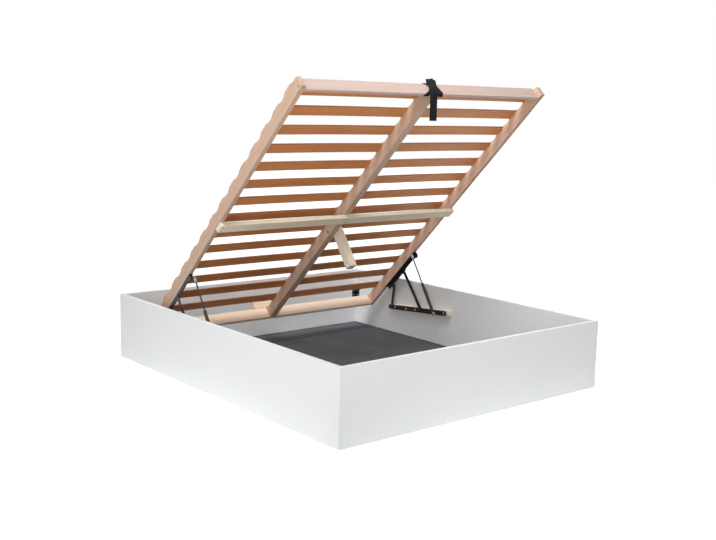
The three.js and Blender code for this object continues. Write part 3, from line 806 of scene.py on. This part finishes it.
# %% One screw head
def screw_head(shape, place, facing, radius, height):
    """Add one head to a bmesh: a low cone with its top face sunk to make the recess."""
    turn = Vector(facing).to_track_quat("Z", "Y").to_matrix().to_4x4()
    matrix = Matrix.Translation(Vector(place) + Vector(facing) * height / 2) @ turn
    made = bmesh.ops.create_cone(
        shape, cap_ends=True, cap_tris=False, segments=18,
        radius1=radius, radius2=radius * 0.78, depth=height, matrix=matrix,
    )
    ends = [face for point in made["verts"] for face in point.link_faces if len(face.verts) > 4]
    top = max(ends, key=lambda face: face.calc_center_median().dot(Vector(facing)))
    bmesh.ops.inset_individual(shape, faces=[top], thickness=radius * 0.38, use_even_offset=True)
    bmesh.ops.inset_individual(shape, faces=[top], thickness=radius * 0.02, depth=0)
    bmesh.ops.translate(shape, vec=Vector(facing) * -height * 0.6, verts=top.verts)


print("one screw head serves for all")

# %% [markdown]
# Where the screws go.
# Each size is a radius and a height. The screws on the box hold the base bars and the angle plates,
# and those on the lid hold the crossbar, the brackets and the foot rail.

# %% Screws on the box
BAR_FACE = 0.809
BAR_MIDDLE = Vector((0.564, 0.1778))
BAR_SLOPE = -0.0805
BAR_BOLTS = (0.537, 0.435, 0.350, 0.100)
PLATE_REACH = 0.021
PLATE_THICKNESS = 0.003
PLATE_SCREW_INSET = 0.015
BAR_BOLT = (0.0062, 0.003)
PLATE_SCREW = (0.004, 0.0015)

box_heads = bmesh.new()
for hand in (-1, 1):
    for y in BAR_BOLTS:
        z = BAR_MIDDLE.y + (y - BAR_MIDDLE.x) * BAR_SLOPE
        screw_head(box_heads, (hand * BAR_FACE, y, z), (-hand, 0, 0), *BAR_BOLT)
for end in ("foot", "head"):
    low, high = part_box(f"corner_bracket_{end}")
    outward = 1 if end == "head" else -1
    wall_y = high.y if end == "head" else low.y
    far_y = wall_y - outward * PLATE_REACH
    near_y = wall_y - outward * PLATE_THICKNESS
    for z in (low.z + PLATE_SCREW_INSET, high.z - PLATE_SCREW_INSET):
        for hand in (-1, 1):
            side_x = hand * (high.x - PLATE_THICKNESS)
            end_x = hand * (high.x - PLATE_REACH)
            screw_head(box_heads, (side_x, far_y, z), (-hand, 0, 0), *PLATE_SCREW)
            screw_head(box_heads, (end_x, near_y, z), (0, -outward, 0), *PLATE_SCREW)
add_piece("box_screws", box_heads, zinc, "box_base")
print("screw heads on the box")

# %% [markdown]
# Screws on the lid.
# They are placed on the flat lid, as x across, s along and n up, and turned with it at the end.

# %% Screws on the lid
CROSSBAR_UNDER = -0.0242
CROSSBAR_SCREW = (0.0040, 0.0008)
RAIL_SCREW = (0.0036, 0.0006)
FLANGE_SCREW = (0.004, 0.0018)
FLANGE_RIVET = (0.004, 0.002)
BRACKET_X = 0.784

lid_heads = bmesh.new()
painted_heads = bmesh.new()
for hand in (-1, 1):
    screw_head(painted_heads, (hand * RAIL_OUTER, 0.005, 0.016), (hand, 0, 0), *RAIL_SCREW)
    screw_head(painted_heads, (hand * BRACKET_X, -0.002, 0), (0, 0, -1), *RAIL_SCREW)
    for s in (0.930, 0.952):
        screw_head(lid_heads, (hand * 0.7875, s, CROSSBAR_UNDER), (0, 0, -1), *CROSSBAR_SCREW)
        screw_head(lid_heads, (hand * 0.009, s, CROSSBAR_UNDER), (0, 0, -1), *CROSSBAR_SCREW)
    for s in (1.400, 1.455, 1.565, 1.615):
        screw_head(painted_heads, (hand * BRACKET_X, s, -0.0045), (0, 0, -1), *FLANGE_SCREW)
    for s, n in ((1.400, -0.007), (1.455, -0.007), (1.600, -0.014)):
        screw_head(painted_heads, (hand * 0.7956, s, n), (-hand, 0, 0), *FLANGE_RIVET)
for heads in (lid_heads, painted_heads):
    bmesh.ops.transform(heads, matrix=LID, verts=heads.verts)
add_piece("lid_screws", lid_heads, dull_zinc, "lift_frame")
add_piece("bracket_screws", painted_heads, black_paint, "lift_frame")
print("screw heads on the lid")

# %% [markdown]
# The support leg.
# A square timber hangs beside the centre rail from one bolt. With the lid down it stands just clear
# of the floor and carries the middle of the bed. A pale green glide is nailed under it.

# %% Leg, glide and bolt
dress("support_leg", leg_painted_light, 1.6 * MM, segments=3)
dress("leg_glide", glide_plastic, 0.9 * MM)
dress("leg_bolt", dull_zinc, 0.6 * MM)
print("leg, glide and bolt")

# %% [markdown]
# The pull strap.
# A length of black webbing is knotted round the foot rail, and its free end hangs straight down. A
# ribbon is a grid bent along a list of stations. Each station gives the ribbon's middle and the
# direction of its width, so it can twist as it goes over the rail.

# %% Ribbon of webbing
BAND_WIDTH = 0.047
BAND_THICKNESS = 1.8 * MM
SHORT_STEP = 0.01


def between(stations, share):
    """A smooth point on a list of stations, each a middle point and a width vector."""
    last = len(stations) - 1
    spot = share * last
    k = min(int(spot), last - 1)
    t = spot - k
    rows = [stations[max(0, min(last, k + step))] for step in (-1, 0, 1, 2)]
    result = []
    for part in (0, 1):
        a, b, c, d = (Vector(row[part]) for row in rows)
        squared = 2 * a - 5 * b + 4 * c - d
        cubed = 3 * b - a - 3 * c + d
        result.append(0.5 * ((2 * b) + (c - a) * t + squared * t ** 2 + cubed * t ** 3))
    return result


def ribbon(name, stations, length, cup):
    """Bend a grid along the stations and give it the webbing's thickness. cup hollows its width."""
    shape = bmesh.new()
    weave = shape.loops.layers.uv.new("band")
    bmesh.ops.create_grid(shape, x_segments=8, y_segments=10 * (len(stations) - 1), size=0.5)
    for face in shape.faces:
        for corner in face.loops:
            corner[weave].uv = (corner.vert.co.x * BAND_WIDTH, (corner.vert.co.y + 0.5) * length)
    for point in shape.verts:
        over, share = point.co.x, point.co.y + 0.5
        middle, width = between(stations, share)
        later, sooner = min(1.0, share + SHORT_STEP), max(0.0, share - SHORT_STEP)
        ahead = between(stations, later)[0] - between(stations, sooner)[0]
        lift = ahead.cross(width).normalized() * cup * (4 * over ** 2 - 0.33)
        point.co = middle + width * over + lift
    bmesh.ops.transform(shape, matrix=LID, verts=shape.verts)
    piece = add_piece(name, shape, band_finish, "lift_frame", smooth_below=70)
    thick = piece.modifiers.new("thickness", "SOLIDIFY")
    thick.thickness = BAND_THICKNESS
    thick.offset = 0
    return piece


print("webbing", round(BAND_WIDTH / MM), "mm wide")

# %% [markdown]
# Three ribbons.
# One ribbon goes round the rail, one turns off to its left, and the tail falls plumb from the knot. The
# stations are points on the flat lid, so the tail's direction is the plumb line turned back by the
# lid's tilt.

# %% Lay the ribbons
full = (BAND_WIDTH, 0, 0)
wrap = ribbon("strap_wrap", [
    ((0.056, 0.012, 0.105), (0.036, 0.008, 0)), ((0.047, 0.003, 0.092), (0.040, 0, 0)),
    ((0.034, 0.0012, 0.070), full), ((0.027, 0.0015, 0.050), full), ((0.031, 0.0012, 0.026), full),
    ((0.035, 0.0006, 0.001), full), ((0.038, 0.010, -0.0030), full), ((0.041, 0.0225, -0.0005), full),
    ((0.043, 0.0245, 0.030), full), ((0.046, 0.0245, 0.068), full),
    ((0.052, 0.021, 0.094), (0.040, 0, 0)), ((0.056, 0.013, 0.1035), (0.036, 0.008, 0)),
], 0.275, cup=1.5 * MM)
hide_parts("pull_strap")
ribbon("strap_left_turn", [
    ((0.014, 0.0000, 0.052), (0.010, 0, 0.006)), ((-0.002, 0.0010, 0.058), (0.012, 0, 0.008)),
    ((-0.013, 0.0015, 0.0665), (0.022, 0, 0.002)), ((-0.026, 0.0090, 0.0705), (0.036, -0.004, 0)),
    ((-0.030, 0.0225, 0.0690), (0.036, 0, 0)), ((-0.036, 0.0245, 0.040), (0.030, 0, 0)),
    ((-0.044, 0.0240, 0.006), (0.026, 0, 0)), ((-0.042, 0.0150, -0.0030), (0.030, 0.006, 0)),
    ((-0.030, 0.0020, 0.002), (0.024, 0, -0.006)), ((-0.014, 0.0005, 0.012), (0.016, 0, -0.012)),
    ((0.004, 0.0000, 0.020), (0.008, 0, -0.010)),
], 0.270, cup=1.0 * MM)
tail_drop = Vector((0, math.sin(LID_TILT), -math.cos(LID_TILT)))
tail_top = Vector((-0.002, -0.0042, 0.004))
ribbon("strap_tail", [
    ((0.040, 0.0245, 0.080), (0.036, 0, 0)), ((0.039, 0.018, 0.098), (0.036, 0.004, 0)),
    ((0.036, 0.006, 0.103), (0.038, -0.006, 0)), ((0.029, -0.0015, 0.088), (0.042, 0, 0)),
    ((0.017, -0.0035, 0.060), full), ((0.008, -0.0042, 0.036), full), ((0.001, -0.0045, 0.014), full),
    (tuple(tail_top + tail_drop * 0.012), full), (tuple(tail_top + tail_drop * 0.060), full),
    (tuple(tail_top + tail_drop * 0.100), full), (tuple(tail_top + tail_drop * 0.1385), full),
], 0.285, cup=1.0 * MM)
print("strap of three lengths of webbing")
